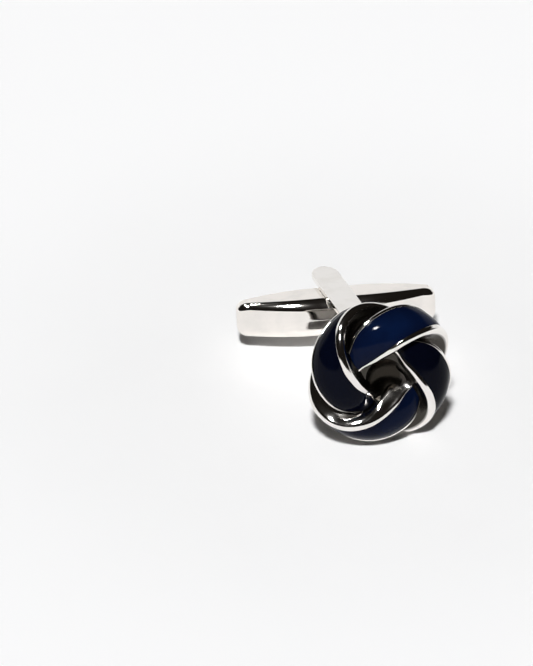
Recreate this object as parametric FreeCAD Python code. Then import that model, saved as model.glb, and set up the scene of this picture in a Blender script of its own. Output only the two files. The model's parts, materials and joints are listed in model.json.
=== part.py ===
import FreeCAD, Part
import math
import os

# Swivel-bar cufflink: a knot of four enamelled straps on a forked post with a turning bar.
# Lengths are millimetres and angles are degrees.
# Head frame: the knot faces +Z, the post runs along -Z, the pin lies along Y and the bar along X.
# The finished cufflink is then laid on its side: knot towards -Y, post towards +Y, resting on z = 0.

V = FreeCAD.Vector

# Knot: straps wound round a ring, each tucked under the strap before it
strap_count = 4
knot_ring_r = 3.60        # head axis to the middle of the ring's section
knot_flat_share = 0.90    # the ring's section is this much shorter along the head axis
rail_reach = 3.05         # middle of that section to the crest of a strap's inner rail
lap_drop = 0.55           # most that a strap's outer edge lies below its inner rail
tuck_drop = 1.05          # how much lower a strap starts, under its neighbour
rail_width = 0.70         # flat of the inner rail where the strap crosses the ring
rail_bevel = 0.16         # worn corner between that flat and the side wall
edge_rail_width = 0.46    # thin rail along the strap's outer edge
wall_foot_drop = 1.30     # how far the foot of a side wall lies below the rail's crest
strap_root_drop = 1.85    # how far the underside of a strap's outer edge lies below it
strap_crown = 0.10        # bulge of a strap between its edges
enamel_depth = 0.42
enamel_sink = 0.05        # enamel surface below the rails

# Core of the casting, under the straps
core_drop = 1.55          # crest of a strap's inner rail to the core's surface
dimple_floor_z = 0.80     # floor of the dimple in front of the ring's middle plane
knot_back_z = 2.00        # flat back behind the ring's middle plane
core_back_r = 4.70
core_low_lean = -35       # where the core's round side meets its slope to the back
core_mid_lean = 60

# Back plate and post
plate_r = 4.30
plate_thickness = 0.60
plate_edge_round = 0.20
plate_slot_clearance = 0.03  # post's root to the slot that it is let into
arm_width = 2.50
arm_thickness = 0.55
arm_outer_half = 2.45     # pin's middle to an arm's outer face
arm_bend_r = 0.80         # outside of the bend at the post's root
pivot_back = 14.37        # ring's middle plane to the pin
tip_past_pivot = 4.80     # pin to the arms' tips
tip_round = 1.70          # length of the half ellipse that closes an arm

# Turning bar
bar_length = 18.30
bar_side_clearance = 0.07 # bar to each arm
bar_depth = 3.90          # along the post, at the pin
bar_end_depth = 1.80
bar_end_drop = 0.18       # each end is lower than the middle by this, top and bottom
bar_straight_half = 1.50  # straight stretch each side of the pin
bar_facet_height = 0.85
bar_facet_depth = 0.62
bar_nose_length = 1.15    # round at each end
bar_nose_drop = 0.85      # how far that round closes in from the top and bottom
bar_nose_inset = 0.40     # and from the sides
bar_nose_steps = 4
bar_swivel = -9.5         # how far the bar is turned from square as the cufflink lies

# Pin and its friction washers
pin_r = 0.70
pin_running_clearance = 0.03
pin_edge_bevel = 0.04     # the rivet is ground flush with the arms
pin_press_clearance = 0.01
washer_r = 1.25
washer_thickness = 0.16
washer_gap = 0.03         # washer to the floor of its seat in the bar
washer_seat_clearance = 0.05

cut_overrun = 1.00
tilt_steps = 5            # rounds of closing in on the tilt at which the cufflink lies

# Sizes that follow from those above
knot_outer_r = knot_ring_r + rail_reach
wall_foot_reach = rail_reach - wall_foot_drop
strap_root_reach = rail_reach - strap_root_drop
core_reach = rail_reach - core_drop
arm_inner_half = arm_outer_half - arm_thickness
bar_half_height = arm_inner_half - bar_side_clearance
tip_back = pivot_back + tip_past_pivot

# One strap from its tucked start, over the crest and round to the back: its turn about the head axis,
# the inner rail's lean about the ring (0 outermost, 90 crest) and how far it has risen from the tuck
strap_turns = [170, 152, 135, 118, 102, 88, 76, 66, 57, 49, 41, 32, 20, 6, -10, -28]
rail_leans = [116, 124, 127, 124, 118.5, 112, 103.5, 92.5, 79, 64, 47, 28, 9, -7, -19, -31.5]
rise_shares = [0.20, 0.50, 0.70, 0.85, 0.94, 0.98, 1, 1, 1, 1, 1, 1, 0.97, 0.75, 0.40, 0.05]
# How much of its full width the inner rail has: narrow in the dimple, widest where it goes round to the back
width_shares = [0.35, 0.5, 0.64, 0.68, 0.73, 0.8, 0.86, 0.88, 0.89, 0.92, 1, 1.1, 1.2, 1.2, 1.2, 1.2]
# Lean and reach of the side wall's foot: spread wide in the dimple, then on the neighbour below
foot_leans = [150, 158, 163, 163, 160, 155, 149, 139, 124, 106, 85, 60, 35, 15, -1, -15]
foot_shares = [1.30, 1.40, 1.48, 1.51, 1.46, 1.34, 1.20, 1.11, 1.06, 1.03, 1, 1, 1, 1, 1, 1]
# Lean and lap of the outer edge: under the neighbour at first, in the open once past it
edge_leans = [84, 84, 73, 50, 33, 19, 7, -2, -10, -16, -22, -28, -35, -42, -49, -56]
lap_shares = [0.5, 0.9, 1.0, 0.9, 0.7, 0.45, 0.3, 0.2, 0.15, 0.15, 0.15, 0.15, 0.2, 0.25, 0.3, 0.35]
first_enamel = 1          # stations where the enamel starts, under the neighbour, and runs out
last_enamel = 12
cell_names = ["enamel_top", "enamel_left", "enamel_bottom", "enamel_right"]


def ring_point(turn, lean, reach):
    """A point by its turn about the head axis, lean about the ring and reach from the section's middle."""
    t = math.radians(turn)
    a = math.radians(lean)
    out = knot_ring_r + reach * math.cos(a)
    return V(out * math.cos(t), out * math.sin(t), knot_flat_share * reach * math.sin(a))


def lean_span(width, i):
    """The lean that a width across the strap takes up at a station, where the strap runs askew."""
    first = max(i - 1, 0)
    last = min(i + 1, len(strap_turns) - 1)
    along = math.radians(strap_turns[first] - strap_turns[last])
    across = math.radians(rail_leans[first] - rail_leans[last])
    out = knot_ring_r + rail_reach * math.cos(math.radians(rail_leans[i]))
    askew = math.atan2(out * along, abs(rail_reach * across))
    return math.degrees(width / (rail_reach * math.sin(askew)))


def closed_wire(corners, crowns):
    """A closed outline through corners, with an arc where crowns gives a middle point and a line elsewhere."""
    edges = []
    for i, start in enumerate(corners):
        end = corners[(i + 1) % len(corners)]
        if i in crowns:
            edges.append(Part.Arc(start, crowns[i], end).toShape())
        else:
            edges.append(Part.LineSegment(start, end).toShape())
    return Part.Wire(edges)


class Station:
    """The places of one strap section: the leans and reaches of its rails."""

    def __init__(self, i):
        self.turn = strap_turns[i]
        self.rail_lean = rail_leans[i]
        self.edge_lean = edge_leans[i]
        self.rail_reach = rail_reach - tuck_drop * (1 - rise_shares[i])
        self.edge_reach = self.rail_reach - lap_drop * lap_shares[i]
        self.foot_lean = foot_leans[i]
        self.foot_reach = wall_foot_reach * foot_shares[i]
        self.bevel_lean = self.rail_lean - lean_span(rail_bevel, i)
        self.cell_in = self.rail_lean - lean_span(rail_width * width_shares[i], i)
        self.cell_out = self.edge_lean + math.degrees(edge_rail_width / rail_reach)

    def top(self, lean, lift=0.0):
        """A point over the strap's surface, which falls from the inner rail to the outer edge."""
        share = (self.rail_lean - lean) / (self.rail_lean - self.edge_lean)
        reach = self.rail_reach + (self.edge_reach - self.rail_reach) * share
        reach += 4 * strap_crown * share * (1 - share)
        return ring_point(self.turn, lean, reach + lift)

    def middle(self, a, b, lift=0.0):
        return self.top((a + b) / 2, lift)


def strap_section(i, sink):
    s = Station(i)
    corners = [
        ring_point(s.turn, s.foot_lean, s.foot_reach),
        ring_point(s.turn, s.rail_lean, s.rail_reach - rail_bevel - sink),
        s.top(s.bevel_lean, -sink),
        s.top(s.edge_lean, -sink),
        ring_point(s.turn, s.edge_lean, strap_root_reach),
    ]
    return closed_wire(corners, {2: s.middle(s.bevel_lean, s.edge_lean, -sink)})


def cell_section(i):
    s = Station(i)
    corners = [
        s.top(s.cell_in, -enamel_depth),
        s.top(s.cell_in, cut_overrun),
        s.top(s.cell_out, cut_overrun),
        s.top(s.cell_out, -enamel_depth),
    ]
    return closed_wire(corners, {
        1: s.middle(s.cell_in, s.cell_out, cut_overrun),
        3: s.middle(s.cell_in, s.cell_out, -enamel_depth),
    })


def around_knot(shape, k):
    turned = shape.copy()
    turned.rotate(V(0, 0, 0), V(0, 0, 1), 360.0 * k / strap_count)
    return turned


def make_strap(sink=0.0):
    return Part.makeLoft([strap_section(i, sink) for i in range(len(strap_turns))], True, False)


def make_cell():
    """The room for one strap's enamel, open above the strap."""
    return Part.makeLoft([cell_section(i) for i in range(first_enamel, last_enamel + 1)], True, False)


def common_solid(shape):
    """The largest solid of a shape, without the slivers that a cut can leave."""
    return max(shape.Solids, key=lambda solid: solid.Volume)


def make_core():
    """The casting under the straps: a ring with a floored dimple in front and a flat back."""
    low = ring_point(0, core_low_lean, core_reach)
    crest = ring_point(0, core_mid_lean, core_reach)
    lip_lean = 180 - math.degrees(math.asin(dimple_floor_z / (knot_flat_share * core_reach)))
    lip = ring_point(0, lip_lean, core_reach)
    outline = [
        Part.LineSegment(V(0, 0, dimple_floor_z), V(0, 0, -knot_back_z)).toShape(),
        Part.LineSegment(V(0, 0, -knot_back_z), V(core_back_r, 0, -knot_back_z)).toShape(),
        Part.LineSegment(V(core_back_r, 0, -knot_back_z), low).toShape(),
        Part.Arc(low, crest, lip).toShape(),
        Part.LineSegment(lip, V(0, 0, dimple_floor_z)).toShape(),
    ]
    return Part.Face(Part.Wire(outline)).revolve(V(0, 0, 0), V(0, 0, 1), 360)


def make_knot():
    """The knot casting and its enamel cells."""
    behind = Part.makeBox(
        2 * knot_outer_r + 2 * cut_overrun,
        2 * knot_outer_r + 2 * cut_overrun,
        knot_outer_r,
        V(-knot_outer_r - cut_overrun, -knot_outer_r - cut_overrun, -knot_back_z - knot_outer_r),
    )
    strap = make_strap()
    cell = make_cell()
    tray = strap.cut(cell).cut(behind)
    casting = make_core()
    for k in range(strap_count):
        casting = casting.fuse(around_knot(tray, k))
    enamel = common_solid(make_strap(enamel_sink).common(cell).cut(around_knot(strap, 1)))
    return common_solid(casting), [around_knot(enamel, k) for k in range(strap_count)]


def make_back_plate():
    """The disc that closes the knot's back, slotted for the root of the post."""
    base = V(0, 0, -knot_back_z - plate_thickness)
    plate = Part.makeCylinder(plate_r, plate_thickness, base)
    rim = [e for e in plate.Edges if e.BoundBox.ZMax < -knot_back_z and e.Length > plate_r]
    plate = plate.makeFillet(plate_edge_round, rim)
    half_width = arm_width / 2 + plate_slot_clearance
    half_span = arm_outer_half + plate_slot_clearance
    corner = V(-half_width, -half_span, base.z - cut_overrun)
    slot = Part.makeBox(2 * half_width, 2 * half_span, plate_thickness + 2 * cut_overrun, corner)
    return plate.cut(slot)


def u_outline(half, back, front, corner):
    """Half-width, closed back and open front of a U lying in the plane of the pin and the post."""
    turn = corner * (1 - math.sqrt(0.5))
    a = [V(0, half, front), V(0, half, back - corner), V(0, half - corner, back)]
    b = [V(0, corner - half, back), V(0, -half, back - corner), V(0, -half, front)]
    edges = [
        Part.LineSegment(a[0], a[1]).toShape(),
        Part.Arc(a[1], V(0, half - turn, back - turn), a[2]).toShape(),
        Part.LineSegment(a[2], b[0]).toShape(),
        Part.Arc(b[0], V(0, turn - half, back - turn), b[1]).toShape(),
        Part.LineSegment(b[1], b[2]).toShape(),
        Part.LineSegment(b[2], a[0]).toShape(),
    ]
    return Part.Face(Part.Wire(edges))


def make_post():
    """One strip bent into a fork: its root lies on the knot's back and its arms end in half ellipses."""
    root = -knot_back_z
    tip = -tip_back
    half = arm_width / 2
    outer = u_outline(arm_outer_half, root, tip, arm_bend_r)
    inner = u_outline(arm_inner_half, root - arm_thickness, tip, arm_bend_r - arm_thickness)
    strip = outer.cut(inner).extrude(V(arm_width, 0, 0))
    strip.translate(V(-half, 0, 0))
    shoulder = tip + tip_round
    end = Part.Ellipse(V(0, 0, tip), V(half, 0, shoulder), V(0, 0, shoulder))
    plan = Part.Wire(Part.__sortEdges__([
        Part.LineSegment(V(-half, 0, root), V(half, 0, root)).toShape(),
        Part.LineSegment(V(half, 0, root), V(half, 0, shoulder)).toShape(),
        Part.ArcOfEllipse(end, -math.pi / 2, math.pi / 2).toShape(),
        Part.LineSegment(V(-half, 0, shoulder), V(-half, 0, root)).toShape(),
    ]))
    rounded = Part.Face(plan).extrude(V(0, 2 * arm_outer_half, 0))
    rounded.translate(V(0, -arm_outer_half, 0))
    return common_solid(strip.common(rounded).cut(pin_bore(pin_r + pin_press_clearance)))


def pin_bore(radius):
    length = 2 * arm_outer_half + 2 * cut_overrun
    return Part.makeCylinder(radius, length, V(0, -length / 2, -pivot_back), V(0, 1, 0))


def bar_section(along, half_height, half_depth, facet_share=1.0):
    """An eight-sided section of the bar: flat top and bottom, upright sides and slanted facets between."""
    side = half_height - bar_facet_height * facet_share
    flat = half_depth - bar_facet_depth * facet_share
    corners = [
        V(along, half_height, -flat), V(along, half_height, flat), V(along, side, half_depth),
        V(along, -side, half_depth), V(along, -half_height, flat), V(along, -half_height, -flat),
        V(along, -side, -half_depth), V(along, side, -half_depth),
    ]
    return Part.makePolygon(corners + corners[:1])


def bar_stations():
    """Half a bar from the pin outwards: a straight stretch, a taper and a nose rounded by a quarter ellipse."""
    shoulder = bar_length / 2 - bar_nose_length
    low = bar_half_height - bar_end_drop
    stations = [(bar_straight_half, bar_half_height, bar_depth / 2, 1.0)]
    for i in range(bar_nose_steps + 1):
        bend = math.radians(90 * i / bar_nose_steps)
        closing = 1 - math.cos(bend)
        height = low - bar_nose_drop * closing
        depth = bar_end_depth / 2 - bar_nose_inset * closing
        stations.append((shoulder + bar_nose_length * math.sin(bend), height, depth, height / low))
    return stations


def make_bar():
    """The turning bar, tapered both ways from the pin, with washer seats round its bore."""
    half = bar_stations()
    wires = [bar_section(-x, h, d, share) for x, h, d, share in reversed(half)]
    wires += [bar_section(x, h, d, share) for x, h, d, share in half]
    bar = Part.makeLoft(wires, True, True)
    bar.translate(V(0, 0, -pivot_back))
    bar = bar.cut(pin_bore(pin_r + pin_running_clearance))
    for side in (1, -1):
        floor = V(0, side * (arm_inner_half - washer_thickness - washer_gap), -pivot_back)
        seat = Part.makeCylinder(washer_r + washer_seat_clearance, cut_overrun, floor, V(0, side, 0))
        bar = bar.cut(seat)
    return common_solid(bar)


def make_pin():
    pin = Part.makeCylinder(pin_r, 2 * arm_outer_half, V(0, -arm_outer_half, -pivot_back), V(0, 1, 0))
    return pin.makeChamfer(pin_edge_bevel, [e for e in pin.Edges if len(e.Vertexes) == 1])


def make_washer(side):
    face = V(0, side * (arm_inner_half - washer_thickness), -pivot_back)
    disc = Part.makeCylinder(washer_r, washer_thickness, face, V(0, side, 0))
    return disc.cut(pin_bore(pin_r + pin_running_clearance))


def lay_down(shape, tilt):
    """From the head frame to lying on its side, with the post rising towards the knot by a tilt."""
    laid = shape.copy()
    laid.rotate(V(0, 0, 0), V(1, 0, 0), 90 - tilt)
    return laid


def lying_tilt(casting):
    """The tilt at which the knot's rim and the lower arm's tip lie on one plane, by closing in on it."""
    tilt = 0.0
    for _ in range(tilt_steps):
        rim_depth = -lay_down(casting, tilt).optimalBoundingBox(False, False).ZMin
        tip_rise = rim_depth - arm_outer_half * math.cos(math.radians(tilt))
        tilt = math.degrees(math.asin(tip_rise / tip_back))
    return tilt


def main():
    os.makedirs("parts", exist_ok=True)
    casting, cells = make_knot()
    bar = make_bar()
    bar.rotate(V(0, 0, -pivot_back), V(0, 1, 0), bar_swivel)
    nodes = {
        "knot_casting": casting,
        "back_plate": make_back_plate(),
        "post_fork": make_post(),
        "toggle_bar": bar,
        "pivot_pin": make_pin(),
        "friction_washer_upper": make_washer(1),
        "friction_washer_lower": make_washer(-1),
    }
    for name, cell in zip(cell_names, cells):
        nodes[name] = cell
    tilt = lying_tilt(casting)
    laid = {name: lay_down(shape, tilt) for name, shape in nodes.items()}
    box = Part.makeCompound(list(laid.values())).optimalBoundingBox(False, False)
    shift = V(-box.Center.x, -box.Center.y, -box.ZMin)
    for name, shape in laid.items():
        shape.translate(shift)
        shape.exportStep("parts/%s.step" % name)
    marks = {
        "ring middle": V(0, 0, 0),
        "pin": V(0, 0, -pivot_back),
        "plate face": V(0, 0, -knot_back_z - plate_thickness),
    }
    print("tilt", tilt)
    for name, point in marks.items():
        at = FreeCAD.Rotation(V(1, 0, 0), 90 - tilt).multVec(point) + shift
        print(name, at.x, at.y, at.z)


if __name__ == "__main__":
    main()
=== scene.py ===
"""Looks of a knot cufflink: lapped metal straps filled with navy enamel, a forked post and a swivel bar."""

import json
import logging
import math
from dataclasses import dataclass, field
from enum import Enum, IntEnum
from functools import partial
from typing import Any, NamedTuple, Optional, Sequence, Union

import bmesh
import bpy
import numpy as np
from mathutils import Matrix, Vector


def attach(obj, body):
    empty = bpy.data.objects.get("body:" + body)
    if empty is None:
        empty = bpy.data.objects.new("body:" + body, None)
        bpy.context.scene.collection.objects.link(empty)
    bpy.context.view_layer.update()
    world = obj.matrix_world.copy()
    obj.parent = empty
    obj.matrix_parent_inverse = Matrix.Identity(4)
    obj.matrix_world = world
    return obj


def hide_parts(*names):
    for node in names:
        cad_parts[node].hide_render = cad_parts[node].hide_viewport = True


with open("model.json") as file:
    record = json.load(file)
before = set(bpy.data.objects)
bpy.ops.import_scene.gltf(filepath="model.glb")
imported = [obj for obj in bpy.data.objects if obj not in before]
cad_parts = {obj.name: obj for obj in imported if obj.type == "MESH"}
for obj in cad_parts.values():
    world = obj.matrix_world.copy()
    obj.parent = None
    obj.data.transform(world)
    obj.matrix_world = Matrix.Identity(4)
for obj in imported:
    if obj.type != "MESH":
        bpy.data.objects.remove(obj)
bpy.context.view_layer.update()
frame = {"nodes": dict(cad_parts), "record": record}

LOG = logging.getLogger("cufflink")
HEAD_BODY = "head_and_post"
BAR_BODY = "bar"

# Sizes are in millimetres and angles in degrees, and the frame is in metres
MM = 0.001
# From the middle of the knot's ring back to the pin
PIVOT_BACK = 14.37
# Points closer than this become one
MERGE_MM = 0.0002
# Keeps a side without length from dividing by zero
LEAST_LENGTH = 1e-9
# The most of a side that one corner's rounding takes
CORNER_SHARE = 0.45

Pair = tuple[float, float]
Triple = tuple[float, float, float]
Colour = Triple
Faces = list[tuple[int, ...]]


class Slot(Enum):
    """The record's material slots that new pieces take."""

    METAL = "polished_metal"
    BAR = "bar_metal"
    ENAMEL = "navy_enamel"


class Corner(IntEnum):
    """The corners of a strap's outline, from its wall's foot over the top to its root beneath."""

    FOOT = 0
    WALL = 1
    RAIL = 2
    RAIL_BEAD = 3
    LIP_IN = 4
    FLOOR_IN = 5
    FLOOR_OUT = 6
    LIP_OUT = 7
    EDGE_BEAD = 8
    EDGE = 9
    ROOT = 10


# Shader maths


class Wire:
    """A shader socket that takes part in Python expressions and adds the Math nodes that they need."""

    def __init__(self, board: "Board", socket: Optional[bpy.types.NodeSocket]) -> None:
        """Keeps the board to add nodes to and the socket to read from."""
        self.board = board
        self.socket = socket

    def _math(self, operation: str, first: "Value", second: "Value") -> "Wire":
        """The result of one Math node on two values."""
        return self.board.node("ShaderNodeMath", {"operation": operation}, {0: first, 1: second})

    def __add__(self, other: "Value") -> "Wire":
        """The sum."""
        return self._math("ADD", self, other)

    def __radd__(self, other: "Value") -> "Wire":
        """The sum, from the right."""
        return self._math("ADD", other, self)

    def __sub__(self, other: "Value") -> "Wire":
        """The difference."""
        return self._math("SUBTRACT", self, other)

    def __rsub__(self, other: "Value") -> "Wire":
        """The difference, from the right."""
        return self._math("SUBTRACT", other, self)

    def __mul__(self, other: "Value") -> "Wire":
        """The product."""
        return self._math("MULTIPLY", self, other)

    def __rmul__(self, other: "Value") -> "Wire":
        """The product, from the right."""
        return self._math("MULTIPLY", other, self)

    def maximum(self, other: "Value") -> "Wire":
        """The larger of two values."""
        return self._math("MAXIMUM", self, other)

    def step(self, low: float, high: float) -> "Wire":
        """A smooth rise from 0 at low to 1 at high."""
        settings = {"interpolation_type": "SMOOTHSTEP"}
        return self.board.node("ShaderNodeMapRange", settings, {0: self, 1: low, 2: high})


Value = Union[float, int, Wire]


class Noise(NamedTuple):
    """Smooth noise: waves to the millimetre, octaves, the rise cut from it and its stretch into streaks."""

    per_mm: float
    detail: float
    rise: Optional[Pair] = None
    stretch: Optional[Triple] = None


class Board:
    """A node tree under construction."""

    def __init__(self, tree: bpy.types.NodeTree) -> None:
        """Empties the tree."""
        self.tree = tree
        tree.nodes.clear()

    def node(
        self, kind: str, settings: Optional[dict[str, Any]] = None, inputs: Optional[dict[Any, Any]] = None,
        output: Union[int, str] = 0,
    ) -> Wire:
        """Adds one node.

        Args:
            kind: Blender's type name of the node.
            settings: properties, set first.
            inputs: values or wires by socket name or number.
            output: the socket that is read.

        Returns:
            The named output, or an empty wire from the tree's last node.
        """
        made = self.tree.nodes.new(kind)
        for key, value in (settings or {}).items():
            setattr(made, key, value)
        for key, value in (inputs or {}).items():
            if isinstance(value, Wire):
                self.tree.links.new(value.socket, made.inputs[key])
            else:
                made.inputs[key].default_value = value
        return Wire(self, made.outputs[output] if made.outputs else None)

    def place(self) -> Wire:
        """The Object coordinates, in metres of the part's frame."""
        return self.node("ShaderNodeTexCoord", output="Object")

    def attribute(self, name: str) -> Wire:
        """A number kept on the mesh's points."""
        return self.node("ShaderNodeAttribute", {"attribute_name": name}, output="Fac")

    def noise(self, pattern: Noise) -> Wire:
        """Smooth noise on the Object coordinates.

        Args:
            pattern: its scale, octaves, rise and stretch.

        Returns:
            The noise, around one half, or the share risen where it has a rise.
        """
        where = self.place()
        if pattern.stretch:
            where = self.node("ShaderNodeMapping", inputs={"Vector": where, "Scale": pattern.stretch})
        inputs = {"Vector": where, "Scale": pattern.per_mm / MM, "Detail": pattern.detail}
        waves = self.node("ShaderNodeTexNoise", inputs=inputs)
        return waves.step(*pattern.rise) if pattern.rise else waves

    def blend(self, share: Value, first: Union[Colour, Wire], second: Colour) -> Wire:
        """A mix of two colours, the first at share 0 and the second at 1."""
        inputs = {0: share, 6: first if isinstance(first, Wire) else (*first, 1.0), 7: (*second, 1.0)}
        return self.node("ShaderNodeMix", {"data_type": "RGBA"}, inputs, output=2)

    def bump(self, height: Value, depth_mm: float) -> Wire:
        """A normal that follows a height, of which 1 stands for the depth."""
        inputs = {"Height": height, "Distance": depth_mm * MM, "Strength": 1.0}
        return self.node("ShaderNodeBump", inputs=inputs)

    def principled(self, **inputs: Any) -> Wire:
        """The surface shader, with sockets named by words joined with underscores."""
        named = {key.replace("_", " ").title().replace("Ior", "IOR"): value for key, value in inputs.items()}
        return self.node("ShaderNodeBsdfPrincipled", inputs=named)


def new_material(name: str) -> tuple[bpy.types.Material, Board]:
    """A material with an empty tree.

    Args:
        name: the material's name.

    Returns:
        The material and its board.
    """
    material = bpy.data.materials.new(name)
    material.use_nodes = True
    return material, Board(material.node_tree)


def finish_surface(board: Board, surface: Wire) -> None:
    """Leads a shader to its tree's output."""
    board.node("ShaderNodeOutputMaterial", inputs={"Surface": surface})


# Finishes


@dataclass(frozen=True)
class BrightPlate:
    """Polished plating: a mirror with the faint ripple of a casting, haze, rubbed edges, and painted shade
    that darkens the dimple, crevices and back.
    """

    name: str
    colour: Colour = (0.90, 0.875, 0.845)
    warm_colour: Colour = (0.84, 0.81, 0.77)
    warm_share: float = 0.8
    # Near black: painted shade for the dimple, the crevices and the back
    recess_colour: Colour = (0.030, 0.026, 0.021)
    polish: float = 0.05
    haze: float = 0.05
    rub_haze: float = 0.06
    recess_haze: float = 0.16
    cloud: Noise = Noise(0.55, 3.0, (0.38, 0.72))
    grain: Noise = Noise(7.0, 2.0)
    ripple: Noise = Noise(1.3, 1.0)
    ripple_mm: float = 0.0012
    scratches: Noise = Noise(1.0, 2.0, (0.50, 0.80), (0.6, 14.0, 14.0))
    scratch_mm: float = 0.00025

    def material(self) -> bpy.types.Material:
        """Builds the material.

        Returns:
            The finished material.
        """
        material, board = new_material(self.name)
        cloud, grain = board.noise(self.cloud), board.noise(self.grain)
        rub, recess = board.attribute("rub"), board.attribute("recess")
        hazy = self.haze * cloud * grain + self.rub_haze * rub * grain
        metal = board.blend(cloud * self.warm_share, self.colour, self.warm_colour)
        relief = board.noise(self.ripple) + board.noise(self.scratches) * (self.scratch_mm / self.ripple_mm)
        finish_surface(board, board.principled(
            # Painted shade and painted dark reflection: the metal darkens to near black in the dimple, the
            # crevices under the walls and round the back
            base_color=board.blend(recess, metal, self.recess_colour),
            metallic=1.0,
            roughness=self.polish + hazy + self.recess_haze * recess,
            normal=board.bump(relief, self.ripple_mm),
        ))
        return material


@dataclass(frozen=True)
class NavyEnamel:
    """Deep navy enamel with a gloss: lighter across the middle of each cell, darkened on some straps with
    painted shade, faintly clouded and wavy.
    """

    name: str
    deep: Colour = (0.0016, 0.0030, 0.0130)
    bright: Colour = (0.0022, 0.0085, 0.0370)
    # Painted shade: a near-black navy that some straps' enamel is darkened towards
    dark: Colour = (0.0011, 0.0014, 0.0042)
    cloud: Noise = Noise(0.28, 3.0, (0.30, 0.75))
    cloud_share: float = 0.55
    specks: Noise = Noise(16.0, 1.0, (0.62, 0.80))
    speck_share: float = 0.10
    polish: float = 0.05
    haze: float = 0.04
    gloss: float = 0.06
    waves: Noise = Noise(0.7, 1.0)
    wave_mm: float = 0.0010

    def material(self) -> bpy.types.Material:
        """Builds the material.

        Returns:
            The finished material.
        """
        material, board = new_material(self.name)
        cloud = board.noise(self.cloud)
        light = 1 - self.cloud_share + self.cloud_share * cloud + self.speck_share * board.noise(self.specks)
        # Lighter across the middle of each cell, darker towards its rims
        colour = board.blend(board.attribute("body") * light, self.deep, self.bright)
        finish_surface(board, board.principled(
            # Painted shade: each strap's enamel is darkened by its own share
            base_color=board.blend(board.attribute("tone"), colour, self.dark),
            roughness=self.polish + self.haze * cloud,
            specular_ior_level=self.gloss,
            normal=board.bump(board.noise(self.waves), self.wave_mm),
        ))
        return material


@dataclass(frozen=True)
class WasherSteel:
    """Rolled steel with a fine grain."""

    name: str
    colour: Colour = (0.52, 0.51, 0.49)
    dark_colour: Colour = (0.34, 0.33, 0.32)
    dark_rise: Pair = (0.35, 0.75)
    grain: Noise = Noise(6.0, 3.0, stretch=(1.0, 12.0, 12.0))
    grain_mm: float = 0.0008
    polish: float = 0.26
    haze: float = 0.14

    def material(self) -> bpy.types.Material:
        """Builds the material.

        Returns:
            The finished material.
        """
        material, board = new_material(self.name)
        grain = board.noise(self.grain)
        finish_surface(board, board.principled(
            base_color=board.blend(grain.step(*self.dark_rise), self.colour, self.dark_colour),
            metallic=1.0,
            roughness=self.polish + self.haze * grain,
            normal=board.bump(grain, self.grain_mm),
        ))
        return material


@dataclass(frozen=True)
class PaleCard:
    """The matt white card that the cufflink lies on, with painted light that makes it whiter further out."""

    name: str
    colour: Colour = (0.892, 0.892, 0.894)
    fleck_colour: Colour = (0.88, 0.88, 0.882)
    # Painted light: the whiter colour of the card far from its middle
    far_lit_colour: Colour = (0.962, 0.962, 0.967)
    flecks: Noise = Noise(0.08, 4.0, (0.35, 0.70))
    near_mm: float = 10.0
    far_mm: float = 50.0
    dullness: float = 0.75
    gloss: float = 0.2

    def material(self) -> bpy.types.Material:
        """Builds the material.

        Returns:
            The finished material.
        """
        material, board = new_material(self.name)
        away = board.node("ShaderNodeVectorMath", {"operation": "LENGTH"}, {0: board.place()}, output="Value")
        # Painted light: the card is lightened further from its middle
        far = away.step(self.near_mm * MM, self.far_mm * MM)
        near = board.blend(board.noise(self.flecks), self.colour, self.fleck_colour)
        finish_surface(board, board.principled(
            base_color=board.blend(far, near, self.far_lit_colour),
            roughness=self.dullness,
            specular_ior_level=self.gloss,
        ))
        return material


@dataclass
class Finishes:
    """The materials that the pieces share."""

    metal: bpy.types.Material = field(default_factory=BrightPlate("bright_plate").material)
    bar: bpy.types.Material = field(default_factory=BrightPlate(
        "bar_plate", colour=(0.94, 0.895, 0.85), haze=0.035, ripple_mm=0.0011).material)
    enamel: bpy.types.Material = field(default_factory=NavyEnamel("navy_enamel_gloss").material)
    washer: bpy.types.Material = field(default_factory=WasherSteel("washer_steel").material)


# Surfaces on grids


def spline(table: Sequence[float], samples: np.ndarray) -> np.ndarray:
    """A natural cubic spline through a table's entries, which stand at 0, 1, 2 and so on.

    Args:
        table: the entries.
        samples: the places to read.

    Returns:
        The values there.
    """
    knots = np.asarray(table, float)
    count = len(knots)
    inner = np.arange(1, count - 1)
    matrix = np.zeros((count, count))
    matrix[0, 0] = matrix[-1, -1] = 1
    matrix[inner, inner] = 4
    matrix[inner, inner - 1] = matrix[inner, inner + 1] = 1
    right = np.zeros(count)
    right[inner] = 6 * (knots[2:] - 2 * knots[1:-1] + knots[:-2])
    bend = np.linalg.solve(matrix, right) / 6
    before = np.clip(samples.astype(int), 0, count - 2)
    after = before + 1
    share = samples - before
    cubic = bend[before] * (1 - share) ** 3 + bend[after] * share ** 3
    return cubic + (knots[before] - bend[before]) * (1 - share) + (knots[after] - bend[after]) * share


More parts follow.
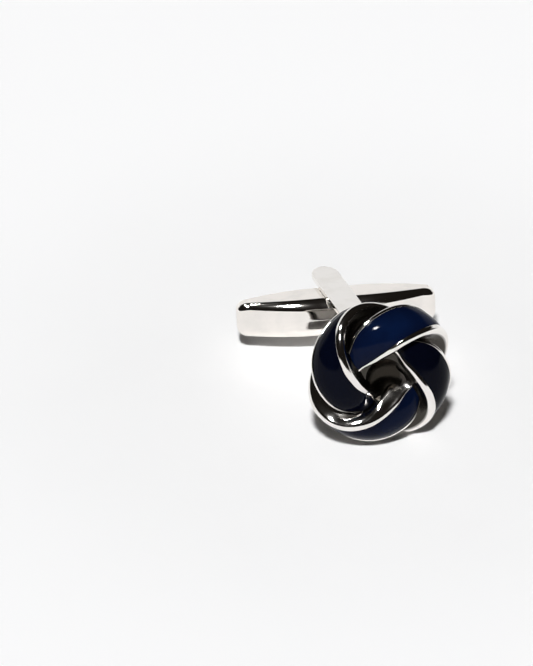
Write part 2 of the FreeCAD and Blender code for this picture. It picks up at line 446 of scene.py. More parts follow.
def rounded_outline(
    corners: np.ndarray, radii: Sequence[float], arc_points: int, side_points: int,
) -> np.ndarray:
    """Closed outlines with rounded corners, one for each station of a path.

    A corner is the parabola through its two tangent points, pulled towards the corner; a side is the
    straight line between neighbouring tangent points.

    Args:
        corners: stations x corners x 2.
        radii: a tangent length for each corner, 0 for a sharp one.
        arc_points: points on each corner.
        side_points: points inside each side.

    Returns:
        Stations x points x 2.
    """
    count = corners.shape[1]
    to_next = np.roll(corners, -1, axis=1) - corners
    length = np.linalg.norm(to_next, axis=2)
    unit = to_next / np.maximum(length, LEAST_LENGTH)[..., None]
    room = CORNER_SHARE * np.minimum(length, np.roll(length, 1, axis=1))
    reach = np.minimum(np.asarray(radii)[None, :], room)
    starts = corners - reach[..., None] * np.roll(unit, 1, axis=1)
    ends = corners + reach[..., None] * unit
    u = np.linspace(0, 1, arc_points)[None, :, None]
    v = (np.arange(1, side_points + 1) / (side_points + 1))[None, :, None]
    parts = []
    for j in range(count):
        start, corner, end = (a[:, j, None, :] for a in (starts, corners, ends))
        following = starts[:, (j + 1) % count, None, :]
        parts.append((1 - u) ** 2 * start + 2 * u * (1 - u) * corner + u ** 2 * end)
        parts.append(end + v * (following - end))
    return np.concatenate(parts, axis=1)


def grid_faces(numbers: np.ndarray) -> Faces:
    """Quads between the neighbours on a grid of point numbers."""
    corners = (numbers[:-1, :-1], numbers[:-1, 1:], numbers[1:, 1:], numbers[1:, :-1])
    return [tuple(quad) for quad in np.stack(corners, axis=-1).reshape(-1, 4).tolist()]


def lathe_points(outline: Sequence[Pair], turns: int) -> np.ndarray:
    """An outline of radius and height turned about the z axis.

    Args:
        outline: points of radius and height.
        turns: copies round the axis.

    Returns:
        Turns x points x 3.
    """
    angle = np.linspace(0, 2 * np.pi, turns, endpoint=False)[:, None]
    radius, height = np.asarray(outline, float).T
    shape = np.broadcast_shapes(angle.shape, radius.shape)
    return np.stack([radius * np.cos(angle), radius * np.sin(angle), np.broadcast_to(height, shape)], axis=-1)


def tidy_mesh(mesh: bpy.types.Mesh) -> None:
    """Merges doubled points, turns every face outwards and shades it smooth.

    Args:
        mesh: the mesh to tidy.
    """
    shape = bmesh.new()
    shape.from_mesh(mesh)
    bmesh.ops.remove_doubles(shape, verts=shape.verts, dist=MERGE_MM * MM)
    bmesh.ops.recalc_face_normals(shape, faces=shape.faces)
    shape.to_mesh(mesh)
    shape.free()
    mesh.polygons.foreach_set("use_smooth", np.ones(len(mesh.polygons), bool))
    mesh.update()


@dataclass
class HeadFrame:
    """The knot's own frame in millimetres: x along the square bar, y along the pin, z out of its face."""

    middle: np.ndarray
    axes: np.ndarray

    @classmethod
    def from_record(cls, record: dict[str, Any]) -> "HeadFrame":
        """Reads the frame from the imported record.

        Args:
            record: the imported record.

        Returns:
            The frame, with its middle in front of the pin.
        """
        joint = record["behaviour"]["joints"][0]
        face = next(mount for mount in record["mounts"] if mount["name"] == "cuff_face")
        y = np.asarray(joint["axis"], float)
        z = -np.asarray(face["axis"], float)
        pin = np.asarray(joint["pos_m"], float)
        return cls(pin + PIVOT_BACK * MM * z, np.stack([np.cross(y, z), y, z]))

    def to_part(self, points: np.ndarray) -> np.ndarray:
        """Any array of points in this frame, as rows in metres in the part's frame."""
        return points.reshape(-1, 3) * MM @ self.axes + self.middle


@dataclass
class Piece:
    """A mesh in the making: points in the head's frame, faces, and numbers kept on the points."""

    name: str
    points: list[np.ndarray] = field(default_factory=list)
    faces: Faces = field(default_factory=list)
    marks: dict[str, list[np.ndarray]] = field(default_factory=dict)

    def _add(self, rings: np.ndarray, marks: dict[str, np.ndarray]) -> np.ndarray:
        """Adds points and what is kept on them.

        Args:
            rings: outlines x points x 3.
            marks: numbers for the points, by name.

        Returns:
            The new points' own numbers, outlines x points.
        """
        first, shape = sum(len(part) for part in self.points), rings.shape[:2]
        self.points.append(rings.reshape(-1, 3))
        for name, mark in marks.items():
            self.marks.setdefault(name, []).append(np.broadcast_to(mark, shape).reshape(-1))
        return first + np.arange(math.prod(shape)).reshape(shape)

    def add_tube(self, rings: np.ndarray, **marks: np.ndarray) -> None:
        """Adds a tube of closed outlines, with both ends closed.

        Args:
            rings: outlines x points x 3.
            marks: numbers for the points, by name.
        """
        numbers = self._add(rings, marks)
        self.faces += grid_faces(np.pad(numbers, ((0, 0), (0, 1)), "wrap"))
        self.faces += [tuple(cap.tolist()) for cap in (numbers[0, ::-1], numbers[-1])]

    def add_lathe(self, rings: np.ndarray, **marks: np.ndarray) -> None:
        """Adds a turned solid, a closed ring of outlines that start and end on the axis."""
        numbers = self._add(rings, marks)
        self.faces += grid_faces(np.pad(numbers, ((0, 1), (0, 0)), "wrap").T)

    def make(
        self, head: HeadFrame, material: bpy.types.Material, body: str, nodes: Sequence[str],
    ) -> None:
        """Makes the mesh object and puts it on its body.

        Args:
            head: the frame of the points.
            material: the finish.
            body: the body that it rides on.
            nodes: the solids that it stands for.
        """
        mesh = bpy.data.meshes.new(self.name)
        mesh.from_pydata(head.to_part(np.concatenate(self.points)), [], self.faces)
        for name, parts in self.marks.items():
            values = np.concatenate(parts).astype(np.float32)
            mesh.attributes.new(name, "FLOAT", "POINT").data.foreach_set("value", values)
        tidy_mesh(mesh)
        piece = bpy.data.objects.new(self.name, mesh)
        bpy.context.scene.collection.objects.link(piece)
        piece.data.materials.append(material)
        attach(piece, body)
        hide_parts(*nodes)
        LOG.info("%s: %d points, %d faces", self.name, len(mesh.vertices), len(mesh.polygons))


# The knot


@dataclass
class StrapCourse:
    """One strap's course, by stations from its tucked start over the crest and round to the back.

    Turns, leans, offsets and lifts are in degrees, drops in millimetres, and shares are of the knot's sizes.
    """

    turns: Sequence[float] = (170, 152, 135, 118, 102, 88, 76, 66, 57, 49, 41, 32, 20, 6, -10, -28)
    rail_leans: Sequence[float] = (
        116, 124, 127, 124, 118.5, 112, 103.5, 92.5, 79, 64, 47, 28, 9, -7, -19, -31.5)
    rise_shares: Sequence[float] = (
        0, 0.18, 0.52, 0.80, 0.93, 0.98, 1, 1, 1, 1, 1, 1, 0.97, 0.75, 0.40, 0.05)
    foot_leans: Sequence[float] = (150, 158, 163, 163, 160, 155, 149, 136, 112, 84, 63, 43, 24, 8, -6, -20)
    foot_shares: Sequence[float] = (
        1.30, 1.40, 1.48, 1.51, 1.46, 1.34, 1.20, 1.11, 1.06, 1.03, 1, 1, 1, 1, 1, 1)
    wall_offsets: Sequence[float] = (6, 6, 7, 8, 8, 8, 8, 7, 6, 6, 6.5, 7, 7, 7, 6, 5)
    wall_drops: Sequence[float] = (
        0, 0.08, 0.20, 0.30, 0.38, 0.45, 0.52, 0.62, 0.74, 0.86, 1.0, 1.05, 1.05, 0.90, 0.60, 0.25)
    full_offsets: Sequence[float] = (17, 17, 18, 19, 20, 21, 22, 20, 14, 9, 7, 7, 7, 7, 6, 5)
    full_drops: Sequence[float] = (
        0, 0, 0, 0, 0.02, 0.06, 0.12, 0.22, 0.44, 0.70, 0.90, 1.0, 1.05, 0.90, 0.60, 0.25)
    turn_ins: Sequence[float] = (10, 11, 10, 7.5, 5, 2.5, 1, 0, 0, 0, 0, 0, 0, 0, 0, 0)
    edge_lifts: Sequence[float] = (0, 0, 0, 3, 8, 12, 14, 12, 9, 6, 3, 0, 0, 0, 0, 0)
    start_lifts: Sequence[float] = (8, 12, 11, 6, 2, 0, 0, 0, 0, 0, 0, 0, 0, 0, 0, 0)
    edge_leans: Sequence[float] = (84, 84, 73, 50, 33, 19, 7, -2, -10, -16, -22, -28, -35, -42, -49, -56)
    lap_shares: Sequence[float] = (
        0.5, 0.9, 1.0, 0.9, 0.7, 0.45, 0.3, 0.2, 0.15, 0.15, 0.15, 0.15, 0.2, 0.25, 0.3, 0.35)
    width_shares: Sequence[float] = (
        0.35, 0.5, 0.64, 0.68, 0.73, 0.8, 0.86, 0.88, 0.89, 0.92, 1, 1.1, 1.2, 1.2, 1.2, 1.2)
    first_enamel: int = 1
    last_enamel: int = 12
    tuck_end: float = 3.5


class Lift(NamedTuple):
    """How one strap departs from the common course, as shares of the course's lifts, full wall and turn."""

    edge: float
    start: float
    wall: float
    inwards: float


@dataclass
class Knot:
    """The knot head: four lapped straps on a cast core, with enamel in their trays and a plate behind."""

    head: HeadFrame
    course: StrapCourse = field(default_factory=StrapCourse)
    ring_r: float = 3.60
    flat_share: float = 0.90
    rail_reach: float = 3.05
    lap_drop: float = 0.55
    tuck_drop: float = 1.05
    rail_width: float = 0.70
    edge_rail_width: float = 0.46
    least_askew: float = 0.35
    least_cell_lean: float = 2.0
    wall_foot_reach: float = 1.75
    root_reach: float = 1.20
    crown: float = 0.10
    rail_bead: float = 0.12
    edge_bead: float = 0.10
    wall_round: float = 0.5
    crest_round: float = 0.24
    rail_bead_round: float = 0.3
    edge_bead_round: float = 0.2
    lip_round: float = 0.07
    edge_round: float = 0.16
    rub_height: float = 0.10
    enamel_depth: float = 0.42
    enamel_sink: float = 0.05
    meniscus: float = 0.035
    meniscus_share: float = 0.05
    core_reach: float = 1.50
    core_leans: Pair = (112.0, -35.0)
    core_back_r: float = 4.70
    core_back_shares: Sequence[float] = (1.0, 0.98, 0.5, 0.0)
    dimple_floor_z: float = 0.72
    bowl_r: float = 1.75
    bowl_rise: float = 0.24
    rim_r: float = 2.6
    rim_z: float = 2.6
    recess_depth: float = 1.1
    shade_z: float = -1.2
    shade_depth: float = 0.5
    # Shares of lost polish and of painted shade, round the back and in the crevices under the walls
    back_dull_shade: float = 0.78
    crevice_dull_shade: float = 0.97
    back_z: float = 2.00
    plate_r: float = 4.30
    plate_thickness: float = 0.60
    plate_round: float = 0.20
    plate_front_shares: Sequence[float] = (0.0, 0.98, 1.0)
    plate_rear_shares: Sequence[float] = (0.97, 0.5, 0.0)
    along_steps: int = 260
    cell_steps: int = 190
    arc_points: int = 7
    side_points: int = 3
    fade_points: int = 2
    skin_points: int = 25
    floor_stride: int = 8
    core_points: int = 40
    bowl_points: int = 24
    rim_points: int = 9
    turn_steps: int = 128
    cell_names: Sequence[str] = ("enamel_top", "enamel_left", "enamel_bottom", "enamel_right")
    # How far each strap's enamel is darkened with painted shade
    cell_tones: Sequence[float] = (0.1, 0.9, 0.5, 0.97)
    strap_lifts: Sequence[Lift] = (
        Lift(edge=0.25, start=-1.0, wall=0.0, inwards=0.0),
        Lift(edge=0.0, start=0.3, wall=0.0, inwards=1.0),
        Lift(edge=1.0, start=-0.5, wall=1.0, inwards=0.0),
        Lift(edge=0.5, start=-1.0, wall=0.0, inwards=0.0),
    )

    def ring_points(self, turn: np.ndarray, lean: np.ndarray, reach: np.ndarray) -> np.ndarray:
        """Points by turn about the head's axis, lean about the ring and reach from its middle.

        Args:
            turn: degrees about the axis.
            lean: degrees about the ring, 0 outermost and 90 at the crest.
            reach: distance from the middle of the ring's section.

        Returns:
            Points in the last axis; the section is flattened along the head's axis and cut at the back.
        """
        around, about = np.radians(turn), np.radians(lean)
        out = self.ring_r + reach * np.cos(about)
        height = np.maximum(self.flat_share * reach * np.sin(about), -self.back_z)
        return np.stack([out * np.cos(around), out * np.sin(around), height], axis=-1)

    def stations(self, samples: np.ndarray, lift: Lift) -> dict[str, np.ndarray]:
        """The course's tables, smoothed and read at samples.

        Args:
            samples: places along the course, in stations.
            lift: how this strap departs from the common course.

        Returns:
            Turns, leans, reaches and the rail's bead at each sample, by name.
        """
        course, read = self.course, partial(spline, samples=samples)
        edge_lift = lift.edge * read(course.edge_lifts) + lift.start * read(course.start_lifts)
        at = {
            "turn": read(course.turns),
            "rail": read(course.rail_leans) + lift.inwards * read(course.turn_ins),
            "edge": read(course.edge_leans) + edge_lift,
            "foot": read(course.foot_leans),
            "foot_reach": self.wall_foot_reach * read(course.foot_shares),
        }
        rise = np.clip(read(course.rise_shares), 0, 1)
        at["rail_reach"] = self.rail_reach - self.tuck_drop * (1 - rise)
        at["edge_reach"] = at["rail_reach"] - self.lap_drop * read(course.lap_shares)
        full, steep = lift.wall, 1 - lift.wall
        at["wall"] = at["rail"] + steep * read(course.wall_offsets) + full * read(course.full_offsets)
        at["wall_reach"] = at["rail_reach"] - steep * read(course.wall_drops) - full * read(course.full_drops)
        out = self.ring_r + self.rail_reach * np.cos(np.radians(at["rail"]))
        along = out * np.radians(-np.gradient(at["turn"]))
        across = self.rail_reach * np.radians(np.abs(np.gradient(at["rail"])))
        askew = np.maximum(np.sin(np.arctan2(along, across)), self.least_askew)
        width_share = read(course.width_shares)
        at["bead"] = self.rail_bead * width_share
        rail_span = np.degrees(self.rail_width * width_share / (self.rail_reach * askew))
        at["cell_out"] = at["edge"] + np.degrees(self.edge_rail_width / self.rail_reach)
        at["cell_in"] = np.maximum(at["rail"] - rail_span, at["cell_out"] + self.least_cell_lean)
        return at

    def top_reach(self, at: dict[str, np.ndarray], lean: np.ndarray) -> np.ndarray:
        """Reach of a strap's surface, which falls from rail to edge under a parabolic crown.

        Args:
            at: the stations.
            lean: where to read, one column or more for each station.

        Returns:
            The reaches.
        """
        rail, edge, high, low = (at[key][:, None] for key in ("rail", "edge", "rail_reach", "edge_reach"))
        share = (rail - lean) / (rail - edge)
        return high + (low - high) * share + 4 * self.crown * share * (1 - share)

    def strap_rings(self, lift: Lift) -> tuple[np.ndarray, np.ndarray, np.ndarray]:
        """One strap of metal: an outline of wall, beaded rails, tray and underside, carried along its course.

        The outline is rounded on the unrolled ring, where a lean is a length, and rolled up again.

        Args:
            lift: how this strap departs from the common course.

        Returns:
            The outlines, how much each point is rubbed, and where the polish stops and painted shade darkens
            the metal.
        """
        samples = np.linspace(0, len(self.course.turns) - 1, self.along_steps)
        at = self.stations(samples, lift)
        bead, edge_bead = (at["rail"] + at["cell_in"]) / 2, (at["edge"] + at["cell_out"]) / 2
        leans = np.stack([
            at["foot"], at["wall"], at["rail"], bead, at["cell_in"], at["cell_in"],
            at["cell_out"], at["cell_out"], edge_bead, at["edge"], at["edge"],
        ], axis=1)
        reaches = self.top_reach(at, leans)
        reaches[:, Corner.FOOT] = at["foot_reach"]
        reaches[:, Corner.WALL] = at["wall_reach"]
        reaches[:, Corner.RAIL_BEAD] += at["bead"]
        reaches[:, [Corner.FLOOR_IN, Corner.FLOOR_OUT]] -= self.enamel_depth
        reaches[:, Corner.EDGE_BEAD] += self.edge_bead
        reaches[:, Corner.ROOT] = self.root_reach
        radii = np.zeros(len(Corner))
        radii[[Corner.WALL, Corner.RAIL, Corner.EDGE]] = self.wall_round, self.crest_round, self.edge_round
        radii[[Corner.RAIL_BEAD, Corner.EDGE_BEAD]] = self.rail_bead_round, self.edge_bead_round
        radii[[Corner.LIP_IN, Corner.LIP_OUT]] = self.lip_round
        flat = np.stack([np.radians(leans) * self.rail_reach, reaches], axis=-1)
        length, reach = np.moveaxis(rounded_outline(flat, radii, self.arc_points, self.side_points), -1, 0)
        rings = self.ring_points(at["turn"][:, None], np.degrees(length / self.rail_reach), reach)
        rub = np.exp(-((reach - at["rail_reach"][:, None]) / self.rub_height) ** 2)
        return rings, rub, np.maximum(self.recess(rings), self.strap_dull_shade(samples, lift))

    def strap_dull_shade(self, samples: np.ndarray, lift: Lift) -> np.ndarray:
        """How far a strap loses its polish and is darkened with painted shade: in the crevice below its wall,
        along its tucked outer rail and beneath.

        Args:
            samples: places along the course, in stations.
            lift: how this strap departs from the common course.

        Returns:
            A share for each point of each outline.
        """
        span = self.arc_points + self.side_points
        point = np.arange(span * len(Corner))
        wall_end = span * (Corner.RAIL - lift.wall * (Corner.RAIL - Corner.WALL))
        crevice = np.clip((wall_end - point) / self.fade_points + 0.5, 0, 1)
        outer_rail = np.clip((point - span * Corner.LIP_OUT) / self.fade_points + 1, 0, 1)
        tucked = outer_rail * np.clip(self.course.tuck_end - samples[:, None], 0, 1)
        beneath = point >= span * Corner.EDGE + self.arc_points
        # Painted shade in the crevice and on the tucked rail, and a lesser share beneath
        return np.maximum(self.crevice_dull_shade * np.maximum(crevice, tucked), self.back_dull_shade * beneath)

    def cell_rings(self, lift: Lift) -> tuple[np.ndarray, np.ndarray]:
        """One strap's enamel as outlines: a domed skin that climbs at both rims, over a sunken floor.

        Args:
            lift: how this strap departs from the common course.

        Returns:
            The outlines, and a share for each point that is 1 across the middle of the cell and 0 at its
            rims.
        """
        samples = np.linspace(self.course.first_enamel, self.course.last_enamel, self.cell_steps)
        at = self.stations(samples, lift)
        across = np.linspace(0, 1, self.skin_points)[None, :]
        lean = at["cell_in"][:, None] * (1 - across) + at["cell_out"][:, None] * across
        climb = np.exp(-across / self.meniscus_share) + np.exp((across - 1) / self.meniscus_share)
        skin = self.top_reach(at, lean) - self.enamel_sink + self.meniscus * climb
        below = lean[:, ::-self.floor_stride]
        floor = self.top_reach(at, below) - self.enamel_depth
        leans, reaches = np.concatenate([lean, below], axis=1), np.concatenate([skin, floor], axis=1)
        rings = self.ring_points(at["turn"][:, None], leans, reaches)
        dome = np.sqrt(np.clip(4 * across * (1 - across), 0, 1))
        return rings, np.concatenate([dome, np.zeros((1, below.shape[1]))], axis=1)

    def turned(self, rings: np.ndarray, number: int) -> np.ndarray:
        """Outlines turned about the head's axis.

        Args:
            rings: outlines at the first strap's place.
            number: the strap whose place they take, from 0.

        Returns:
            The turned outlines.
        """
        angle = 2 * math.pi * number / len(self.strap_lifts)
        cos, sin = math.cos(angle), math.sin(angle)
        return rings @ np.array([[cos, sin, 0], [-sin, cos, 0], [0, 0, 1]])

    def recess(self, rings: np.ndarray) -> np.ndarray:
        """Where the polish stops and painted shade darkens the metal: 1 deep in the dimple, 0 at its rim, and
        most of 1 round the back.

        Args:
            rings: points of the casting.

        Returns:
            A share for each point.
        """
        radius, z = np.hypot(rings[..., 0], rings[..., 1]), rings[..., 2]
        inside = np.clip((self.rim_r - radius) / self.recess_depth, 0, 1)
        sunk = np.clip((self.rim_z - z) / self.recess_depth, 0, 1)
        shaded = np.clip((self.shade_z - z) / self.shade_depth, 0, 1)
        return np.maximum(inside * sunk, self.back_dull_shade * shaded)

    def core_outline(self) -> list[Pair]:
        """The core's section: parabolic bowl of the dimple, round of the ring and slope to a flat back.

        Returns:
            Points of radius and height, from the axis in front to the axis behind.
        """
        lean = np.radians(np.linspace(*self.core_leans, self.core_points))
        out = self.ring_r + self.core_reach * np.cos(lean)
        ring = zip(out.tolist(), (self.flat_share * self.core_reach * np.sin(lean)).tolist())
        radius = np.linspace(0, self.bowl_r, self.bowl_points)
        bowl = zip(radius.tolist(), (self.dimple_floor_z + self.bowl_rise * radius ** 2).tolist())
        back = [(share * self.core_back_r, -self.back_z) for share in self.core_back_shares]
        return [*bowl, *ring, *back]

    def plate_outline(self) -> list[Pair]:
        """The back plate's section, with a rounded rear rim.

        Returns:
            Points of radius and height, from the axis in front to the axis behind.
        """
        rear, flat = -self.back_z - self.plate_thickness, self.plate_r - self.plate_round
        bend = np.radians(np.linspace(0, 90, self.rim_points))
        rim = zip(flat + self.plate_round * np.cos(bend), rear + self.plate_round * (1 - np.sin(bend)))
        front = [(share * self.plate_r, -self.back_z) for share in self.plate_front_shares]
        return [*front, *rim, *((share * flat, rear) for share in self.plate_rear_shares)]

    def build(self, finishes: Finishes) -> None:
        """Makes and dresses the casting, its enamel and the back plate.

        Args:
            finishes: the shared materials.
        """
        casting = Piece("knot_casting_straps")
        core = lathe_points(self.core_outline(), self.turn_steps)
        # Painted shade: the core's front, seen only in the dimple, is darkened almost to black, and its back
        # in part
        dull_shade = np.where(core[..., 2] > 0, self.crevice_dull_shade, self.back_dull_shade)
        casting.add_lathe(core, rub=np.zeros(1), recess=np.maximum(self.recess(core), dull_shade))
        for number, lift in enumerate(self.strap_lifts):
            rings, rub, recess = self.strap_rings(lift)
            casting.add_tube(self.turned(rings, number), rub=rub, recess=recess)
        casting.make(self.head, finishes.metal, HEAD_BODY, ["knot_casting"])
        for number, (name, lift, tone) in enumerate(zip(self.cell_names, self.strap_lifts, self.cell_tones)):
            enamel = Piece(name + "_fill")
            rings, body = self.cell_rings(lift)
            enamel.add_tube(self.turned(rings, number), body=body, tone=np.array(tone))
            enamel.make(self.head, finishes.enamel, HEAD_BODY, [name])
        plate = Piece("back_plate_disc")
        disc = lathe_points(self.plate_outline(), self.turn_steps)
        # Painted shade: the whole plate is darkened, as it sits behind the knot
        plate.add_lathe(disc, recess=np.array(self.back_dull_shade))
        plate.make(self.head, finishes.metal, HEAD_BODY, ["back_plate"])


# Post and bar


@dataclass
class ForkPost:
    """One strip bent into a fork: the root on the knot's back and two arms that end in half ellipses."""

    head: HeadFrame
    root_back: float = 2.00
    width: float = 2.50
    thickness: float = 0.55
    outer_half: float = 2.45
    bend_r: float = 0.80
    tip_back: float = 19.17
    tip_round: float = 1.70
    tip_half_width: float = 0.004
    edge_round: float = 0.12
    rub_width: float = 0.12
    tip_steps: int = 28
    arm_steps: int = 14
    bend_steps: int = 12
    arc_points: int = 6
    side_points: int = 5

    def path(self) -> tuple[np.ndarray, np.ndarray, np.ndarray]:
        """The strip's middle line from one tip, round the root and out to the other tip.

        Returns:
            Places across and along the post, the outward direction in the same plane, and the
            distance to the nearer tip.
        """
        half = self.outer_half - self.thickness / 2
        bend = self.bend_r - self.thickness / 2
        root = -self.root_back - self.thickness / 2
        tip = self.tip_round * (1 - np.cos(np.linspace(0, np.pi / 2, self.tip_steps)))
        straight = np.linspace(self.tip_round, self.tip_back + root - bend, self.arm_steps)[1:]
        away = np.concatenate([tip, straight])
        arm = np.stack([np.full_like(away, half), away - self.tip_back], axis=1)
        arm_out = np.broadcast_to((1.0, 0.0), arm.shape)
        angle = np.linspace(0, np.pi / 2, self.bend_steps)[1:]
        arc_out = np.stack([np.cos(angle), np.sin(angle)], axis=1)
        arc = np.array([half - bend, root - bend]) + bend * arc_out
        line, outward = np.concatenate([arm, arc]), np.concatenate([arm_out, arc_out])
        near = np.concatenate([away, np.full(len(angle), away[-1])])
        mirror = np.array([-1.0, 1.0])
        line, outward = (np.concatenate([side, (side * mirror)[::-1]]) for side in (line, outward))
        return line, outward, np.concatenate([near, near[::-1]])

    def build(self, finishes: Finishes) -> None:
        """Makes and dresses the fork: a rounded strip section carried along the path, narrowed at the tips.

        Args:
            finishes: the shared materials.
        """
        line, outward, near = self.path()
        narrow = np.sqrt(np.maximum(1 - np.maximum(1 - near / self.tip_round, 0) ** 2, 0))
        wide = np.maximum(self.width / 2 * narrow, self.tip_half_width)
        thick = np.full_like(wide, self.thickness / 2)
        front = np.stack([np.stack(pair, 1) for pair in ((wide, thick), (-wide, thick))], axis=1)
        corners = np.concatenate([front, -front], axis=1)
        section = rounded_outline(corners, [self.edge_round] * 4, self.arc_points, self.side_points)
        across, lift = section[..., 0], section[..., 1]
        plane = line[:, None, :] + lift[..., None] * outward[:, None, :]
        rings = np.stack([across, plane[..., 0], plane[..., 1]], axis=-1)
        fork = Piece("post_fork_strip")
        fork.add_tube(rings, rub=np.exp(-((np.abs(across) - wide[:, None]) / self.rub_width) ** 2))
        fork.make(self.head, finishes.metal, HEAD_BODY, ["post_fork"])


@dataclass
class SwivelBar:
    """The turning bar: a faceted, slightly bowed section that tapers both ways to rounded noses."""

    head: HeadFrame
    swivel: float = -9.5
    length: float = 18.30
    half_height: float = 1.83
    depth: float = 3.90
    end_depth: float = 1.80
    end_drop: float = 0.18
    straight_half: float = 1.50
    taper_power: float = 1.9
    facet_height: float = 0.85
    facet_depth: float = 0.62
    facet_taper: float = 0.45
    facet_bulge: float = 0.05
    face_bulge: float = 0.06
    nose_length: float = 1.15
    nose_drop: float = 0.85
    nose_inset: float = 0.66
    edge_round: float = 0.16
    facet_round: float = 0.4
    face_round: float = 0.1
    body_steps: int = 40
    nose_steps: int = 22
    arc_points: int = 6
    side_points: int = 5

    def half_stations(self) -> np.ndarray:
        """Half a bar outwards from the pin.

        Returns:
            Rows of place, half-height, half-depth and share of the facets' size; the taper is a power of the
            place and the nose is a quarter ellipse.
        """
        shoulder = self.length / 2 - self.nose_length
        place = np.linspace(0, shoulder, self.body_steps)
        along = np.clip((place - self.straight_half) / (shoulder - self.straight_half), 0, 1)
        share, taper = 1 - self.facet_taper * along, along ** self.taper_power
        depth = self.depth / 2 + (self.end_depth - self.depth) / 2 * taper
        body = np.stack([place, self.half_height - self.end_drop * taper, depth, share], axis=1)
        bend = np.linspace(0, np.pi / 2, self.nose_steps)[1:]
        closing = 1 - np.cos(bend)
        low = self.half_height - self.end_drop
        height = low - self.nose_drop * closing
        depth = self.end_depth / 2 - self.nose_inset * closing
        tip = shoulder + self.nose_length * np.sin(bend)
        return np.concatenate([body, np.stack([tip, height, depth, height / low * share[-1]], axis=1)])

    def build(self, finishes: Finishes) -> None:
        """Makes and dresses the bar, from half a section that is repeated half a turn round.

        Args:
            finishes: the shared materials.
        """
        half = self.half_stations()
        place, height, depth, share = np.concatenate([half[:0:-1] * (-1, 1, 1, 1), half]).T
        side, flat = height - self.facet_height * share, depth - self.facet_depth * share
        slant = math.hypot(self.facet_height, self.facet_depth) / self.facet_bulge
        high = (height + side) / 2 + self.facet_depth / slant
        deep = (depth + flat) / 2 + self.facet_height / slant
        crown = depth + self.face_bulge * share
        front = np.stack([
            np.stack(pair, 1) for pair in (
                (height, -flat), (height, flat), (high, deep), (side, depth), (0 * side, crown),
                (-side, depth), (-high, deep))], axis=1)
        edge, facet, face = self.edge_round, self.facet_round, self.face_round
        radii = [edge, edge, facet, edge, face, edge, facet] * 2
        corners = np.concatenate([front, -front], axis=1)
        section = rounded_outline(corners, radii, self.arc_points, self.side_points)
        angle = math.radians(self.swivel)
        cos, sin = math.cos(angle), math.sin(angle)
        along, upright, across = place[:, None], section[..., 0], section[..., 1]
        rings = np.stack([
            along * cos + across * sin, upright, across * cos - along * sin - PIVOT_BACK], axis=-1)
        bar = Piece("toggle_bar_faceted")
        bar.add_tube(rings)
        bar.make(self.head, finishes.bar, BAR_BODY, ["toggle_bar"])


@dataclass
class SmallParts:
    """The solids that stay as they are: the rivet pin and the two friction washers."""

    metal_nodes: Sequence[str] = ("pivot_pin",)
    steel_nodes: Sequence[str] = ("friction_washer_upper", "friction_washer_lower")

    def dress(self, finishes: Finishes) -> None:
        """Gives the solids their finishes.

        Args:
            finishes: the shared materials.
        """
        for names, material in ((self.metal_nodes, finishes.metal), (self.steel_nodes, finishes.washer)):
            for name in names:
                solid = frame["nodes"][name]
                solid.data.materials.clear()
                solid.data.materials.append(material)
                LOG.info("%s keeps its solid", name)


# Studio


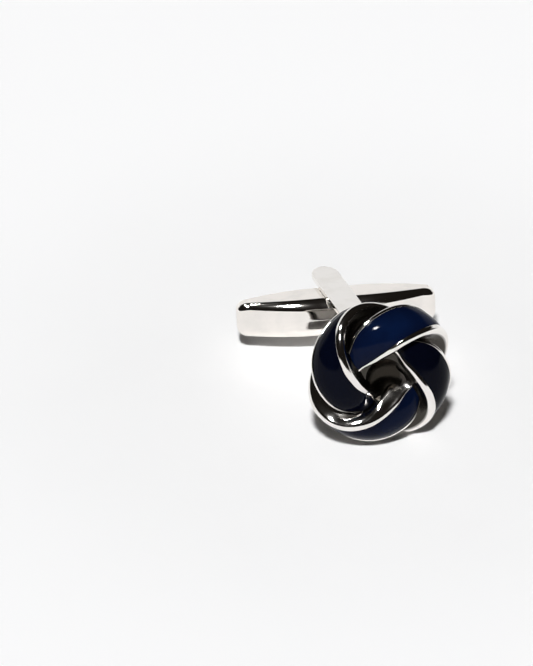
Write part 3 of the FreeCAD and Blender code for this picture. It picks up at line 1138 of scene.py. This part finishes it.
@dataclass
class Studio:
    """A pale card under a high lamp, two gleams, a bright horizon, a dark room above, and the camera."""

    camera_mm: Triple = (-80.915, -271.186, 204.527)
    aim_mm: Triple = (-5.805, 9.044, -0.073)
    lens: float = 259.7
    sensor: float = 36.0
    clip_mm: Pair = (10.0, 10000.0)
    card_half_mm: float = 1500.0
    card_z_mm: float = -0.1
    lamp_towards: Triple = (-0.20, -0.48, 0.855)
    lamp_strength: float = 3.64
    lamp_angle: float = 7.0
    gleams_towards: Sequence[Triple] = ((-0.23, -0.49, 0.84), (-0.386, -0.019, 0.924))
    gleam_strength: float = 3.8
    gleam_angle: float = 8.0
    backdrop: float = 0.86
    backdrop_towards: Triple = (0.21, 0.98, 0.0)
    backdrop_side_rise: Pair = (0.15, 0.50)
    backdrop_top_rise: Pair = (0.30, 0.46)
    horizon_rise: Pair = (-0.02, 0.05)
    room: Colour = (0.0095, 0.0080, 0.0068)
    fill: float = 0.04

    def camera(self) -> None:
        """Adds the camera at the photograph's angle."""
        data = bpy.data.cameras.new("camera")
        data.lens, data.sensor_width, data.sensor_fit = self.lens, self.sensor, "HORIZONTAL"
        data.clip_start, data.clip_end = (clip * MM for clip in self.clip_mm)
        camera = bpy.data.objects.new("camera", data)
        bpy.context.scene.collection.objects.link(camera)
        place, aim = (Vector(point) * MM for point in (self.camera_mm, self.aim_mm))
        camera.location = place
        camera.rotation_euler = (aim - place).to_track_quat("-Z", "Y").to_euler()
        bpy.context.scene.camera = camera

    def lamp(self, name: str, towards: Triple, strength: float, angle: float, gleam: bool) -> None:
        """Adds a far lamp, which either lights the surfaces or only shows in their gloss.

        Args:
            name: the lamp's name.
            towards: direction from the object to the lamp.
            strength: light on a square surface.
            angle: how wide it looks, in degrees.
            gleam: whether it shows in the gloss only.
        """
        data = bpy.data.lights.new(name, "SUN")
        data.energy, data.angle = strength, math.radians(angle)
        lamp = bpy.data.objects.new(name, data)
        bpy.context.scene.collection.objects.link(lamp)
        lamp.rotation_euler = Vector(towards).to_track_quat("Z", "Y").to_euler()
        lamp.visible_diffuse, lamp.visible_glossy = not gleam, gleam

    def card(self) -> None:
        """Adds the card, a square just under the cufflink."""
        half, z = self.card_half_mm * MM, self.card_z_mm * MM
        mesh = bpy.data.meshes.new("card")
        corners = [(-half, -half, z), (half, -half, z), (half, half, z), (-half, half, z)]
        mesh.from_pydata(corners, [], [(0, 1, 2, 3)])
        card = bpy.data.objects.new("card", mesh)
        bpy.context.scene.collection.objects.link(card)
        mesh.materials.append(PaleCard("pale_card").material())

    def surroundings(self) -> None:
        """Sets the world: white below the horizon and on a low backdrop behind, a dim room elsewhere."""
        world = bpy.data.worlds.new("surroundings")
        bpy.context.scene.world = world
        world.use_nodes = True
        board = Board(world.node_tree)
        direction = board.node("ShaderNodeTexCoord", output="Generated")
        height = board.node("ShaderNodeSeparateXYZ", inputs={0: direction}, output="Z")
        behind = board.node(
            "ShaderNodeVectorMath", {"operation": "DOT_PRODUCT"}, {0: direction, 1: self.backdrop_towards},
            output="Value")
        backdrop = (1 - height.step(*self.backdrop_top_rise)) * behind.step(*self.backdrop_side_rise)
        white = backdrop.maximum(1 - height.step(*self.horizon_rise))
        glow = board.blend(white, self.room, (self.backdrop,) * 3)
        camera, glossy, clear = (
            board.node("ShaderNodeLightPath", output=ray)
            for ray in ("Is Camera Ray", "Is Glossy Ray", "Is Transmission Ray"))
        seen = camera.maximum(glossy).maximum(clear)
        strength = self.fill + (1 - self.fill) * seen
        light = board.node("ShaderNodeBackground", inputs={"Color": glow, "Strength": strength})
        board.node("ShaderNodeOutputWorld", inputs={"Surface": light})

    def build(self) -> None:
        """Builds the whole studio."""
        self.camera()
        self.lamp("high_lamp", self.lamp_towards, self.lamp_strength, self.lamp_angle, False)
        for i, towards in enumerate(self.gleams_towards):
            self.lamp(f"gleam_lamp_{i}", towards, self.gleam_strength, self.gleam_angle, True)
        self.card()
        self.surroundings()
        bpy.context.scene.view_settings.view_transform = "Standard"


def main() -> None:
    """Builds the studio and every piece."""
    logging.basicConfig(level=logging.INFO, format="%(name)s: %(message)s")
    head = HeadFrame.from_record(frame["record"])
    finishes = Finishes()
    Studio().build()
    Knot(head).build(finishes)
    ForkPost(head).build(finishes)
    SwivelBar(head).build(finishes)
    SmallParts().dress(finishes)


if __name__ == "__main__":
    main()
